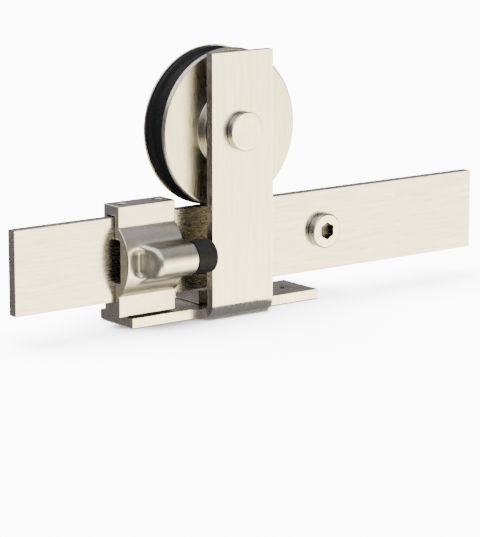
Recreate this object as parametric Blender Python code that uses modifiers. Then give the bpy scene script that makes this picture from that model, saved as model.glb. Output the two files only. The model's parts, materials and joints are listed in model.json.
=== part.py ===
"""Sliding barn door hardware: a flat track on wall standoffs, a top-mount hanger with its wheel,
and a clamp-on end stop with a rubber bumper.

World frame in metres: +X along the track, +Y towards the wall, +Z up. X = 0 is the wheel's axle,
Y = 0 the track's middle plane and Z = 0 the plane where the hanger sits on the door's top edge.
"""

import math

import bmesh
import bpy
from mathutils import Matrix, Vector

MM = 0.001
GAP = 0.3  # clear space between neighbouring pieces

# Driving dimensions, in millimetres.
TRACK_LEFT, TRACK_RIGHT = -132.0, 177.5
TRACK_HEIGHT, TRACK_THICK = 45.0, 6.0
TRACK_BOTTOM = 13.8
TRACK_TOP = TRACK_BOTTOM + TRACK_HEIGHT
TRACK_FRONT, TRACK_BACK = -TRACK_THICK / 2, TRACK_THICK / 2
TRACK_MID_Z = TRACK_BOTTOM + TRACK_HEIGHT / 2
FIXING_XS = {"left": -53.3, "right": 67.8}
FIXING_HOLE_R = 5.5
STANDOFF_LENGTH, STANDOFF_R = 30.0, 10.0
BOLT_HEAD_R, BOLT_HEAD_THICK, BOLT_SHANK_R, BOLT_SOCKET = 9.75, 4.1, 5.0, 8.6

STRAP_WIDTH, STOCK = 40.0, 5.0
STRAP_FRONT = -20.0
STRAP_BACK = STRAP_FRONT + STOCK
STRAP_TOP = 142.2
BEND_OUTER_R = 8.0
PLATE_LEFT, PLATE_RIGHT = -64.5, 59.3
PLATE_FRONT, PLATE_BACK = -9.8, 20.6
CORNER_FILLET = 10.0
DOOR_SCREW_XS = {"left": -51.2, "right": 46.0}
DOOR_SCREW_Y = 5.0
DOOR_SCREW_HEAD_R, DOOR_SCREW_R = 4.5, 2.5

WHEEL_Z = 100.0
WHEEL_R, WHEEL_FRONT, WHEEL_BACK = 43.2, -8.7, 10.8
FLANGE_THICK, FLANGE_CHAMFER = 2.2, 1.5
TREAD_SEAT_R, TREAD_SHOULDER_R = 35.5, 42.5
TREAD_FIT = 0.15  # clear space between the tread and each flange
GROOVE_R = WHEEL_Z - TRACK_TOP - GAP
GROOVE_HALF_WIDTH = 3.9
BOSS_ROOT_R, BOSS_R, BOSS_FRONT = 21.3, 20.4, -13.9
REAR_BOSS_R, BOSS_REAR = 21.0, 12.6
BEARING_BORE_R, BEARING_OUTER_R, BEARING_WIDTH = 6.0, 16.0, 10.0
BEARING_FRONT, BEARING_BACK = -BEARING_WIDTH / 2, BEARING_WIDTH / 2
BEARING_FIT, BEARING_SHOULDER_R = 0.15, 12.5
RING_GROOVE_DEPTH, RING_GROOVE_WIDTH = 1.0, 1.5
RING_THICK, RING_INNER_R, RING_OPENING = 1.1, 13.8, 32.0
BALL_R, BALL_COUNT = 2.9, 7
BALL_FIT, CAGE_WALL = 0.12, 0.9
LAND_OFFSET = 2.0  # from the balls' pitch circle to each bearing ring's plain edge
AXLE_R, AXLE_HEAD_R, AXLE_HEAD_THICK = 5.7, 10.5, 3.9
AXLE_END = 23.4
SPACER_BORE_R, SPACER_R = 5.9, 8.8
WASHER_R, WASHER_THICK = 12.0, 1.5
NUT_FLATS, NUT_THICK = 18.0, 6.0

BLOCK_HALF_WIDTH, BLOCK_FRONT, BLOCK_BACK, BLOCK_TOP = 16.5, -2.5, 19.8, 12.4
BLOCK_SCREW_XS, BLOCK_SCREW_Y = {"left": -9.5, "right": 9.5}, 8.5
BLOCK_SCREW_LENGTH = 11.0

STOP_LEFT, STOP_RIGHT = -71.0, -34.9
STOP_BOTTOM, STOP_TOP = 5.7, 65.1
STOP_FRONT, STOP_BACK = -6.8, 6.8
HOOK_THICK, HOOK_DEPTH = 3.2, 3.6
ARCH_LOW, ARCH_HIGH, ARCH_CROWN_Y = 17.1, 53.5, -15.9
CAVITY_LOW, CAVITY_HIGH, CAVITY_Y = 24.0, 47.4, -8.1
CAVITY_CORNER, CAVITY_MARGIN = 1.5, 0.8
ROOF_CLEARANCE = 0.6  # above the track, where the set screws press down
NOSE_Y, NOSE_Z, NOSE_R = -17.8, (ARCH_LOW + ARCH_HIGH) / 2, 9.0
NOSE_LEFT, NOSE_RIGHT, NOSE_FILLET = -64.0, -33.3, 6.0
SCOOP_LEFT, SCOOP_RIGHT, SCOOP_FLOOR_Y = -69.4, -61.5, -12.0
SCOOP_SLOPE, SCOOP_CORNER = 1 / 3, 1.2  # how far the nose's blind end leans, and its root's chamfer
BUMPER_R, BUMPER_RIGHT = 9.0, -20.9
STUD_R, STUD_BORE_R, STUD_BORE_DEPTH = 2.0, 2.3, 14.0
BUMPER_BORE_DEPTH, STUD_FIT = 9.0, 0.4
SET_SCREW_XS = {"left": -65.0, "right": -41.6}
SET_SCREW_R, SET_SCREW_SOCKET = 2.35, 2.5
SET_SCREW_SINK, SET_SCREW_SOCKET_DEPTH = 2.5, 1.8

WHEEL_SEGMENTS = 60
SEGMENTS = 32
SMALL_SEGMENTS = 24


def clear_scene():
    for item in list(bpy.data.objects):
        bpy.data.objects.remove(item, do_unlink=True)


clear_scene()
parts = bpy.data.collections.new("barn_door_hardware")
cutters = bpy.data.collections.new("cutters")
bpy.context.scene.collection.children.link(parts)
bpy.context.scene.collection.children.link(cutters)


def new_material(name, colour, roughness, metallic):
    material = bpy.data.materials.new(name)
    material.use_nodes = True
    shader = material.node_tree.nodes["Principled BSDF"]
    shader.inputs["Base Color"].default_value = (*colour, 1.0)
    shader.inputs["Roughness"].default_value = roughness
    shader.inputs["Metallic"].default_value = metallic
    return material


STEEL = ((0.72, 0.70, 0.66), 0.34, 1.0)
ZINC = ((0.58, 0.58, 0.57), 0.42, 1.0)
BEARING_STEEL = ((0.66, 0.67, 0.69), 0.15, 1.0)
BLACK_NYLON = ((0.016, 0.016, 0.017), 0.5, 0.0)
BLACK_RUBBER = ((0.022, 0.022, 0.024), 0.62, 0.0)


def finish(item, look, angle=30.0):
    """Gives the object its own material and shades its round faces smooth."""
    item.data.materials.clear()
    item.data.materials.append(new_material(item.name, *look))
    item.data.shade_smooth()
    item.data.set_sharp_from_angle(angle=math.radians(angle))
    return item


def add_object(name, mesh, collection=parts):
    item = bpy.data.objects.new(name, mesh)
    collection.objects.link(item)
    if collection is cutters:
        item.hide_render = True
        item.display_type = "WIRE"
    return item


def apply_modifiers(item):
    """Bakes the object's modifiers into a mesh of its own, with coincident points joined."""
    bpy.context.view_layer.update()
    graph = bpy.context.evaluated_depsgraph_get()
    mesh = bpy.data.meshes.new_from_object(item.evaluated_get(graph))
    work = bmesh.new()
    work.from_mesh(mesh)
    bmesh.ops.remove_doubles(work, verts=work.verts, dist=1e-7)
    work.to_mesh(mesh)
    work.free()
    item.modifiers.clear()
    item.data = mesh
    mesh.name = item.name
    return item


def place(item, position, axis="Z"):
    """Moves the object to a point in millimetres and turns its own Z axis onto a world axis."""
    turns = {"Z": (0.0, "Z"), "X": (math.pi / 2, "Y"), "-Y": (math.pi / 2, "X")}
    angle, about = turns[axis]
    item.matrix_world = Matrix.Translation(Vector(position) * MM) @ Matrix.Rotation(angle, 4, about)
    return item


def turned(name, profile, position, axis, steps=SEGMENTS, collection=parts):
    """A turned piece. The profile's points are (radius, height) down its outer side, top to bottom."""
    mesh = bpy.data.meshes.new(name)
    points = [(radius * MM, 0.0, height * MM) for radius, height in profile]
    closed = profile[0][0] > 0.0
    edges = [(i, i + 1) for i in range(len(points) - 1)]
    if closed:
        edges.append((len(points) - 1, 0))
    mesh.from_pydata(points, edges, [])
    item = add_object(name, mesh, collection)
    screw = item.modifiers.new("Screw", "SCREW")
    screw.steps = steps
    screw.render_steps = steps
    screw.use_merge_vertices = True
    screw.merge_threshold = 0.000001
    apply_modifiers(item)
    return place(item, position, axis)


def outline(name, points, thickness, position, axis, collection=parts):
    """A flat piece: a closed outline in millimetres, extruded by half its thickness each way."""
    curve = bpy.data.curves.new(name, "CURVE")
    curve.dimensions = "2D"
    curve.fill_mode = "BOTH"
    curve.extrude = thickness / 2 * MM
    spline = curve.splines.new("POLY")
    spline.points.add(len(points) - 1)
    for target, (u, v) in zip(spline.points, points):
        target.co = (u * MM, v * MM, 0.0, 1.0)
    spline.use_cyclic_u = True
    guide = bpy.data.objects.new(name + "_outline", curve)
    collection.objects.link(guide)
    bpy.context.view_layer.update()
    graph = bpy.context.evaluated_depsgraph_get()
    mesh = bpy.data.meshes.new_from_object(guide.evaluated_get(graph))
    bpy.data.objects.remove(guide, do_unlink=True)
    work = bmesh.new()
    work.from_mesh(mesh)
    bmesh.ops.remove_doubles(work, verts=work.verts, dist=1e-7)
    bmesh.ops.dissolve_limit(work, angle_limit=0.001, verts=work.verts, edges=work.edges)
    bmesh.ops.recalc_face_normals(work, faces=work.faces)
    work.to_mesh(mesh)
    work.free()
    item = add_object(name, mesh, collection)
    return place(item, position, axis)


def box(name, low, high, collection=parts):
    """A box between two corners in millimetres, with its origin at its centre."""
    mesh = bpy.data.meshes.new(name)
    size = [b - a for a, b in zip(low, high)]
    work = bmesh.new()
    bmesh.ops.create_cube(work, size=1.0)
    bmesh.ops.scale(work, vec=Vector(size) * MM, verts=work.verts)
    work.to_mesh(mesh)
    work.free()
    item = add_object(name, mesh, collection)
    item.location = Vector([(a + b) / 2 for a, b in zip(low, high)]) * MM
    return item


def cylinder(name, radius, length, centre, axis, sides=SMALL_SEGMENTS, collection=parts):
    mesh = bpy.data.meshes.new(name)
    work = bmesh.new()
    bmesh.ops.create_cone(
        work, cap_ends=True, segments=sides, radius1=radius * MM, radius2=radius * MM, depth=length * MM
    )
    work.to_mesh(mesh)
    work.free()
    return place(add_object(name, mesh, collection), centre, axis)


def bevel(item, width, segments=2, angle=30.0):
    modifier = item.modifiers.new("Bevel", "BEVEL")
    modifier.width = width * MM
    modifier.segments = segments
    modifier.limit_method = "ANGLE"
    modifier.angle_limit = math.radians(angle)
    modifier.use_clamp_overlap = True
    modifier.harden_normals = False
    return item


def boolean(item, tool, operation="DIFFERENCE"):
    modifier = item.modifiers.new(tool.name, "BOOLEAN")
    modifier.operation = operation
    modifier.object = tool
    modifier.solver = "EXACT"
    return item


def hex_socket(name, flats, depth, mouth, axis, direction=1.0):
    """A cutter for a hexagon socket: its mouth is a point on the face, its depth runs along the axis."""
    radius = flats / 2 / math.cos(math.pi / 6)
    clear = 2.0
    length = depth + clear
    inwards = {"Z": Vector((0, 0, 1)), "-Y": Vector((0, 1, 0))}[axis] * direction
    centre = Vector(mouth) + inwards * (length / 2 - clear)
    return cylinder(name, radius, length, centre, axis, 6, cutters)


def arc(centre, radius, start, end, count):
    """Points on an arc from one angle to another, in degrees."""
    angles = [math.radians(start + (end - start) * i / count) for i in range(count + 1)]
    return [(centre[0] + radius * math.cos(a), centre[1] + radius * math.sin(a)) for a in angles]


# Fixed track and its wall fixings.


def make_track():
    track = box(
        "track_bar", (TRACK_LEFT, TRACK_FRONT, TRACK_BOTTOM), (TRACK_RIGHT, TRACK_BACK, TRACK_TOP)
    )
    bevel(track, 0.35)
    for side, x in FIXING_XS.items():
        hole = cylinder(
            "track_hole_" + side, FIXING_HOLE_R, TRACK_THICK + 6, (x, 0, TRACK_MID_Z), "-Y",
            collection=cutters,
        )
        boolean(track, hole)
    finish(track, STEEL)


def make_standoff(side, x):
    """A turned spacer between the track's back and the wall."""
    bore, chamfer = FIXING_HOLE_R, 0.6
    profile = [
        (bore, 0.0),
        (STANDOFF_R - chamfer, 0.0),
        (STANDOFF_R, -chamfer),
        (STANDOFF_R, chamfer - STANDOFF_LENGTH),
        (STANDOFF_R - chamfer, -STANDOFF_LENGTH),
        (bore, -STANDOFF_LENGTH),
    ]
    item = turned("standoff_" + side, profile, (x, TRACK_BACK + GAP, TRACK_MID_Z), "-Y", 32)
    finish(item, STEEL)


def make_track_bolt(side, x):
    """A low round head with a hexagon socket, and a shank through the track and its standoff."""
    head_back = TRACK_FRONT - GAP
    shank_end = TRACK_BACK + GAP + STANDOFF_LENGTH - GAP
    edge = 1.1
    rounded = [
        (BOLT_HEAD_R - edge + edge * math.cos(a), BOLT_HEAD_THICK - edge + edge * math.sin(a))
        for a in [math.radians(d) for d in (90, 60, 30, 0)]
    ]
    profile = [(0.0, BOLT_HEAD_THICK)] + rounded + [
        (BOLT_HEAD_R, 0.0),
        (BOLT_SHANK_R, 0.0),
        (BOLT_SHANK_R, head_back - shank_end + 0.7),
        (BOLT_SHANK_R - 0.7, head_back - shank_end),
        (0.0, head_back - shank_end),
    ]
    item = turned("track_bolt_" + side, profile, (x, head_back, TRACK_MID_Z), "-Y", SEGMENTS)
    mouth = (x, head_back - BOLT_HEAD_THICK, TRACK_MID_Z)
    boolean(item, hex_socket("track_bolt_socket_" + side, BOLT_SOCKET, 3.2, mouth, "-Y"))
    finish(item, STEEL)


# Hanger: a bent strap with a T-shaped foot, its fasteners and the anti-jump block.


def bracket_outline():
    """The flat foot's outline up to the line where the bend starts, as (x, y) points."""
    right = [(x, PLATE_FRONT + d) for x, d in foot_fillet()]
    left = [(-x, y) for x, y in reversed(right)]
    ends = [(PLATE_LEFT, PLATE_FRONT), (PLATE_LEFT, PLATE_BACK), (PLATE_RIGHT, PLATE_BACK)]
    return [(PLATE_RIGHT, PLATE_FRONT)] + right + left + ends


def fillet_half_width(distance):
    """Half the strap's width at a distance from the foot's front edge, measured along the flat blank."""
    if distance >= CORNER_FILLET:
        return STRAP_WIDTH / 2
    run = CORNER_FILLET - distance
    return STRAP_WIDTH / 2 + CORNER_FILLET - math.sqrt(max(CORNER_FILLET**2 - run**2, 0.0))


def foot_fillet(count=3):
    """The start of the fillet, in the flat stretch between the foot's edge and the bend."""
    flat = PLATE_FRONT - STRAP_FRONT - BEND_OUTER_R
    return [(fillet_half_width(flat * i / count), -flat * i / count) for i in range(count + 1)]


def make_bracket():
    """One bent piece: the foot is a flat outline, and the bend and strap are a loft that widens into it."""
    work = bmesh.new()
    flat = PLATE_FRONT - STRAP_FRONT - BEND_OUTER_R
    neutral = BEND_OUTER_R - STOCK / 2
    steps = 14
    sections = []
    for i in range(steps + 1):
        angle = math.pi / 2 * i / steps
        half = fillet_half_width(flat + neutral * angle)
        rows = []
        for radius in (BEND_OUTER_R - STOCK, BEND_OUTER_R):
            y = STRAP_FRONT + BEND_OUTER_R - radius * math.sin(angle)
            z = BEND_OUTER_R - radius * math.cos(angle)
            rows.append((y, z))
        sections.append((half, rows[0], rows[1]))
    sections.append((STRAP_WIDTH / 2, (STRAP_BACK, STRAP_TOP), (STRAP_FRONT, STRAP_TOP)))
    rings = []
    for half, inner, outer in sections:
        corners = [(-half, *inner), (half, *inner), (half, *outer), (-half, *outer)]
        rings.append([work.verts.new(Vector(c) * MM) for c in corners])
    for first, second in zip(rings, rings[1:]):
        for k in range(4):
            work.faces.new([first[k], first[(k + 1) % 4], second[(k + 1) % 4], second[k]])
    work.faces.new(rings[-1])
    foot = bracket_outline()
    flat_tops = []
    for z, start in ((STOCK, (rings[0][1], rings[0][0])), (0.0, (rings[0][2], rings[0][3]))):
        count = len(foot_fillet())
        shared = {count: start[0], count + 1: start[1]}
        row = [shared.get(i) or work.verts.new(Vector((x, y, z)) * MM) for i, (x, y) in enumerate(foot)]
        flat_tops.append(row)
        work.faces.new(row)
    top, bottom = flat_tops
    seam = len(foot_fillet())
    for i in range(len(foot)):
        if i != seam:
            j = (i + 1) % len(foot)
            work.faces.new([top[i], top[j], bottom[j], bottom[i]])
    bmesh.ops.recalc_face_normals(work, faces=work.faces)
    mesh = bpy.data.meshes.new("hanger_bracket")
    work.to_mesh(mesh)
    work.free()
    bracket = add_object("hanger_bracket", mesh)
    bevel(bracket, 0.4, 2, 40.0)
    apply_modifiers(bracket)
    axle_hole = cylinder(
        "axle_hole", AXLE_R + GAP, STOCK + 8, (0, STRAP_FRONT + STOCK / 2, WHEEL_Z), "-Y", 32, cutters
    )
    boolean(bracket, axle_hole)
    for side, x in DOOR_SCREW_XS.items():
        boolean(bracket, countersink("door_screw_hole_" + side, x, DOOR_SCREW_Y, STOCK, 1.0))
    for side, x in BLOCK_SCREW_XS.items():
        boolean(bracket, countersink("block_screw_hole_" + side, x, BLOCK_SCREW_Y, 0.0, -1.0))
    finish(bracket, STEEL)


def countersink(name, x, y, face_z, up):
    """A cutter for a countersunk hole whose mouth, in the face at face_z, opens up or down."""
    head, shank = DOOR_SCREW_HEAD_R + GAP, DOOR_SCREW_R + GAP
    rim = 0.5
    profile = [
        (0.0, 1.0), (head, 1.0), (head, -rim), (shank, -rim - head + shank),
        (shank, -STOCK - 2.0), (0.0, -STOCK - 2.0),
    ]
    if up < 0:
        profile = [(radius, -height) for radius, height in reversed(profile)]
    return turned(name, profile, (x, y, face_z), "Z", SMALL_SEGMENTS, cutters)


def countersunk_screw(name, x, y, face_z, length, up):
    """A flat-head screw whose head lies flush in the face at face_z."""
    drop = 0.25
    slope = DOOR_SCREW_HEAD_R - DOOR_SCREW_R
    profile = [
        (0.0, -drop),
        (DOOR_SCREW_HEAD_R, -drop),
        (DOOR_SCREW_HEAD_R, -drop - 0.2),
        (DOOR_SCREW_R, -slope - drop - 0.2),
        (DOOR_SCREW_R, -length + 0.4),
        (DOOR_SCREW_R - 0.4, -length),
        (0.0, -length),
    ]
    socket_mouth = (x, y, face_z - up * drop)
    if up < 0:
        profile = [(radius, -height) for radius, height in reversed(profile)]
    item = turned(name, profile, (x, y, face_z), "Z", SMALL_SEGMENTS)
    boolean(item, hex_socket(name + "_socket", 3.0, 1.8, socket_mouth, "Z", -up))
    finish(item, ZINC)


def make_anti_jump_block():
    """A block on the foot, just below the track, which keeps the wheel from lifting off."""
    low = (-BLOCK_HALF_WIDTH, BLOCK_FRONT, STOCK + GAP)
    high = (BLOCK_HALF_WIDTH, BLOCK_BACK, BLOCK_TOP)
    block = bevel(box("anti_jump_block", low, high), 0.5)
    for side, x in BLOCK_SCREW_XS.items():
        middle = (x, BLOCK_SCREW_Y, (STOCK + BLOCK_TOP) / 2)
        length = 2 * (BLOCK_TOP - STOCK)
        boolean(block, cylinder(
            "block_thread_" + side, DOOR_SCREW_R + GAP, length, middle, "Z", collection=cutters,
        ))
    finish(block, STEEL)


# Axle, wheel and bearing, all turned about the axle.


def along_axle(profile):
    """Turns (radius, y) pairs into (radius, height) pairs of a piece whose own Z points at the viewer."""
    return [(radius, -y) for radius, y in profile]


def make_axle():
    head_back = STRAP_FRONT - GAP
    head_front = head_back - AXLE_HEAD_THICK
    chamfer = 0.6
    profile = along_axle([
        (0.0, head_front),
        (AXLE_HEAD_R - chamfer, head_front),
        (AXLE_HEAD_R - 0.15, head_front + 0.25),
        (AXLE_HEAD_R, head_front + chamfer),
        (AXLE_HEAD_R, head_back),
        (AXLE_R, head_back),
        (AXLE_R, AXLE_END - 0.8),
        (AXLE_R - 0.8, AXLE_END),
        (0.0, AXLE_END),
    ])
    finish(turned("axle_bolt", profile, (0, 0, WHEEL_Z), "-Y"), STEEL)


def make_sleeve(name, bore, radius, front, back, look=STEEL, chamfer=0.4):
    profile = along_axle([
        (bore, front),
        (radius - chamfer, front),
        (radius, front + chamfer),
        (radius, back - chamfer),
        (radius - chamfer, back),
        (bore, back),
    ])
    finish(turned(name, profile, (0, 0, WHEEL_Z), "-Y", 32), look)


def make_nut(front):
    radius = NUT_FLATS / 2 / math.cos(math.pi / 6)
    nut = cylinder("axle_nut", radius, NUT_THICK, (0, front + NUT_THICK / 2, WHEEL_Z), "-Y", 6)
    bevel(nut, 0.5)
    hole = cylinder(
        "nut_hole", AXLE_R + GAP, NUT_THICK + 6, (0, front + NUT_THICK / 2, WHEEL_Z), "-Y", 32, cutters
    )
    boolean(nut, hole)
    finish(nut, ZINC)


def make_wheel_body():
    """The turned wheel: two thin flanges on a drum, a tapered boss in front and a bearing seat inside."""
    soft = FLANGE_CHAMFER / 3
    edge = 0.7
    seat = BEARING_OUTER_R + BEARING_FIT
    groove = seat + RING_GROOVE_DEPTH
    ring_back = BEARING_FRONT - BEARING_FIT
    profile = along_axle([
        (seat, BOSS_FRONT),
        (BOSS_R - edge, BOSS_FRONT),
        (BOSS_R, BOSS_FRONT + edge),
        (BOSS_ROOT_R - edge, WHEEL_FRONT - edge),
        (BOSS_ROOT_R, WHEEL_FRONT),
        (WHEEL_R - FLANGE_CHAMFER, WHEEL_FRONT),
        (WHEEL_R - soft, WHEEL_FRONT + soft),
        (WHEEL_R, WHEEL_FRONT + FLANGE_CHAMFER),
        (WHEEL_R, WHEEL_FRONT + FLANGE_THICK),
        (TREAD_SEAT_R, WHEEL_FRONT + FLANGE_THICK),
        (TREAD_SEAT_R, WHEEL_BACK - FLANGE_THICK),
        (WHEEL_R, WHEEL_BACK - FLANGE_THICK),
        (WHEEL_R, WHEEL_BACK - FLANGE_CHAMFER),
        (WHEEL_R - soft, WHEEL_BACK - soft),
        (WHEEL_R - FLANGE_CHAMFER, WHEEL_BACK),
        (REAR_BOSS_R + edge, WHEEL_BACK),
        (REAR_BOSS_R, WHEEL_BACK + edge),
        (REAR_BOSS_R, BOSS_REAR - edge),
        (REAR_BOSS_R - edge, BOSS_REAR),
        (BEARING_SHOULDER_R, BOSS_REAR),
        (BEARING_SHOULDER_R, BEARING_BACK + BEARING_FIT),
        (seat, BEARING_BACK + BEARING_FIT),
        (seat, ring_back),
        (groove, ring_back),
        (groove, ring_back - RING_GROOVE_WIDTH),
        (seat, ring_back - RING_GROOVE_WIDTH),
    ])
    finish(turned("wheel_body", profile, (0, 0, WHEEL_Z), "-Y", WHEEL_SEGMENTS), STEEL)


def make_tread():
    """The nylon tread between the flanges, with a shallow groove that runs on the track's top edge."""
    front = WHEEL_FRONT + FLANGE_THICK + TREAD_FIT
    back = WHEEL_BACK - FLANGE_THICK - TREAD_FIT
    rim = TREAD_SHOULDER_R - GROOVE_R
    profile = along_axle([
        (TREAD_SEAT_R + TREAD_FIT, front),
        (TREAD_SHOULDER_R, front),
        (TREAD_SHOULDER_R, -GROOVE_HALF_WIDTH - rim),
        (GROOVE_R, -GROOVE_HALF_WIDTH),
        (GROOVE_R, GROOVE_HALF_WIDTH),
        (TREAD_SHOULDER_R, GROOVE_HALF_WIDTH + rim),
        (TREAD_SHOULDER_R, back),
        (TREAD_SEAT_R + TREAD_FIT, back),
    ])
    finish(turned("wheel_tread", profile, (0, 0, WHEEL_Z), "-Y", WHEEL_SEGMENTS), BLACK_NYLON)


def make_bearing():
    """A deep-groove ball bearing: two rings with round raceways, a cage and its balls."""
    pitch = (BEARING_BORE_R + BEARING_OUTER_R) / 2
    race = BALL_R + BALL_FIT
    inner_land, outer_land = pitch - LAND_OFFSET, pitch + LAND_OFFSET
    reach = math.degrees(math.acos(LAND_OFFSET / race))
    inner_race = arc((pitch, 0.0), race, 180 + reach, 180 - reach, 4)
    outer_race = arc((pitch, 0.0), race, -reach, reach, 4)
    bore = BEARING_BORE_R
    inner = along_axle(
        [(bore, BEARING_FRONT), (inner_land, BEARING_FRONT)] + inner_race
        + [(inner_land, BEARING_BACK), (bore, BEARING_BACK)]
    )
    finish(turned("bearing_inner_ring", inner, (0, 0, WHEEL_Z), "-Y", 32), BEARING_STEEL)
    outer = along_axle(
        [(BEARING_OUTER_R, BEARING_FRONT), (BEARING_OUTER_R, BEARING_BACK), (outer_land, BEARING_BACK)]
        + list(reversed(outer_race)) + [(outer_land, BEARING_FRONT)]
    )
    finish(turned("bearing_outer_ring", outer, (0, 0, WHEEL_Z), "-Y", 32), BEARING_STEEL)
    cage_inner, cage_outer = inner_land + GAP, outer_land - GAP
    cage_half = BALL_R + CAGE_WALL
    cage_profile = along_axle([
        (cage_inner, -cage_half),
        (cage_outer, -cage_half),
        (cage_outer, cage_half),
        (cage_inner, cage_half),
    ])
    cage = turned("bearing_cage", cage_profile, (0, 0, WHEEL_Z), "-Y", 28)
    for i in range(BALL_COUNT):
        angle = 2 * math.pi * (i + 0.5) / BALL_COUNT
        centre = (pitch * math.cos(angle), 0.0, WHEEL_Z + pitch * math.sin(angle))
        pocket = ball("cage_pocket_%d" % (i + 1), BALL_R + GAP, centre, cutters)
        boolean(cage, pocket)
        finish(ball("bearing_ball_%d" % (i + 1), BALL_R, centre, parts), BEARING_STEEL)
    finish(cage, BLACK_NYLON)


def ball(name, radius, centre, collection, sides=10):
    mesh = bpy.data.meshes.new(name)
    work = bmesh.new()
    bmesh.ops.create_uvsphere(work, u_segments=sides, v_segments=sides * 3 // 5, radius=radius * MM)
    work.to_mesh(mesh)
    work.free()
    return place(add_object(name, mesh, collection), centre, "-Y")


def make_retaining_ring():
    """A snap ring in the groove in front of the bearing, open at the bottom."""
    outer = BEARING_OUTER_R + BEARING_FIT + RING_GROOVE_DEPTH - GAP
    start, end = -90.0 + RING_OPENING / 2, 270.0 - RING_OPENING / 2
    points = arc((0, 0), outer, start, end, 40) + arc((0, 0), RING_INNER_R, end, start, 40)
    y = BEARING_FRONT - BEARING_FIT - RING_GROOVE_WIDTH / 2
    ring = outline("retaining_ring", points, RING_THICK, (0, y, WHEEL_Z), "-Y")
    finish(ring, ZINC)


# End stop: a clamp around the track with a nose that carries the bumper.


ARCH_HALF_CHORD, ARCH_RISE = (ARCH_HIGH - ARCH_LOW) / 2, STOP_FRONT - ARCH_CROWN_Y
ARCH_R = (ARCH_HALF_CHORD**2 + ARCH_RISE**2) / (2 * ARCH_RISE)
ARCH_CENTRE_Y = ARCH_CROWN_Y + ARCH_R


def nose_section():
    """The nose's section as (y, z) points: round in front, with a fillet to the arch above and below."""
    apart = ARCH_CENTRE_Y - NOSE_Y
    to_nose, to_arch = NOSE_R + NOSE_FILLET, ARCH_R + NOSE_FILLET
    along = (apart**2 + to_nose**2 - to_arch**2) / (2 * apart)
    rise = math.sqrt(to_nose**2 - along**2)
    start = math.degrees(math.atan2(rise, along))
    end = 360.0 - math.degrees(math.atan2(rise, apart - along))
    above = arc((NOSE_Y + along, NOSE_Z + rise), NOSE_FILLET, end, 180.0 + start, 6)
    below = [(y, 2 * NOSE_Z - z) for y, z in reversed(above)]
    front = arc((NOSE_Y, NOSE_Z), NOSE_R, start, 360.0 - start, 18)
    inset = 1.0
    inside = [(below[-1][0] + inset, below[-1][1] + inset), (above[0][0] + inset, above[0][1] - inset)]
    return above + front[1:-1] + below + inside


def stop_section():
    """The clamp's section as (y, z) points: two hooked blocks joined by an arch over a hollow."""
    centre = (ARCH_CENTRE_Y, NOSE_Z)
    spread = math.degrees(math.asin(ARCH_HALF_CHORD / ARCH_R))
    face = TRACK_FRONT - GAP
    hook_inner = STOP_BACK - HOOK_THICK
    roof, floor = TRACK_TOP + ROOF_CLEARANCE, TRACK_BOTTOM - GAP
    soft, flare = CAVITY_CORNER, 0.4
    inside = (
        [(face, CAVITY_LOW - flare)]
        + arc((CAVITY_Y + soft, CAVITY_LOW + soft), soft, 270, 180, 4)
        + arc((CAVITY_Y + soft, CAVITY_HIGH - soft), soft, 180, 90, 4)
        + [(face, CAVITY_HIGH + flare)]
    )
    low_hook = [
        (STOP_BACK, floor + HOOK_DEPTH), (hook_inner, floor + HOOK_DEPTH), (hook_inner, floor),
        (face, floor),
    ]
    high_hook = [
        (face, roof), (hook_inner, roof), (hook_inner, roof - HOOK_DEPTH),
        (STOP_BACK, roof - HOOK_DEPTH),
    ]
    return (
        [(STOP_BACK, STOP_TOP), (STOP_FRONT, STOP_TOP)]
        + arc(centre, ARCH_R, 180 - spread, 180 + spread, 16)
        + [(STOP_FRONT, STOP_BOTTOM), (STOP_BACK, STOP_BOTTOM)]
        + low_hook + inside + high_hook
    )


def make_stop_body():
    """The clamp and its nose are one casting, with a thumb scoop where the nose ends."""
    length = STOP_RIGHT - STOP_LEFT
    centre_x = (STOP_LEFT + STOP_RIGHT) / 2
    body = outline("stop_body", [(-z, y) for y, z in stop_section()], length, (centre_x, 0, 0), "X")
    bevel(body, 0.5, 2, 40.0)
    apply_modifiers(body)
    nose_middle = (NOSE_LEFT + NOSE_RIGHT) / 2
    nose = outline(
        "stop_nose", [(-z, y) for y, z in nose_section()], NOSE_RIGHT - NOSE_LEFT,
        (nose_middle, 0, 0), "X", cutters,
    )
    bevel(nose, 0.5, 2, 40.0)
    apply_modifiers(nose)
    boolean(body, nose, "UNION")
    past = 5.0
    hollow_back = box(
        "stop_hollow", (STOP_LEFT - past, CAVITY_Y, CAVITY_LOW + CAVITY_MARGIN),
        (NOSE_RIGHT + past, TRACK_BACK, CAVITY_HIGH - CAVITY_MARGIN), cutters,
    )
    boolean(body, hollow_back)
    open_y, root_y = NOSE_Y - 2 * NOSE_R, SCOOP_FLOOR_Y - SCOOP_CORNER
    scoop_outline = [
        (SCOOP_LEFT, open_y),
        (SCOOP_LEFT, root_y),
        (SCOOP_LEFT + SCOOP_CORNER, SCOOP_FLOOR_Y),
        (SCOOP_RIGHT - SCOOP_CORNER, SCOOP_FLOOR_Y),
        (SCOOP_RIGHT + SCOOP_CORNER * SCOOP_SLOPE, root_y),
        (SCOOP_RIGHT + (SCOOP_FLOOR_Y - open_y) * SCOOP_SLOPE, open_y),
    ]
    scoop = outline("stop_scoop", scoop_outline, STOP_TOP, (0, 0, NOSE_Z), "Z", cutters)
    boolean(body, scoop)
    for side, x in SET_SCREW_XS.items():
        length = 2 * (STOP_TOP - TRACK_TOP)
        boolean(body, cylinder(
            "set_screw_hole_" + side, SET_SCREW_R + GAP, length, (x, 0, STOP_TOP), "Z",
            collection=cutters,
        ))
    bore = cylinder(
        "stud_bore", STUD_BORE_R, 2 * STUD_BORE_DEPTH, (NOSE_RIGHT, NOSE_Y, NOSE_Z), "X",
        collection=cutters,
    )
    boolean(body, bore)
    finish(body, STEEL)


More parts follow.
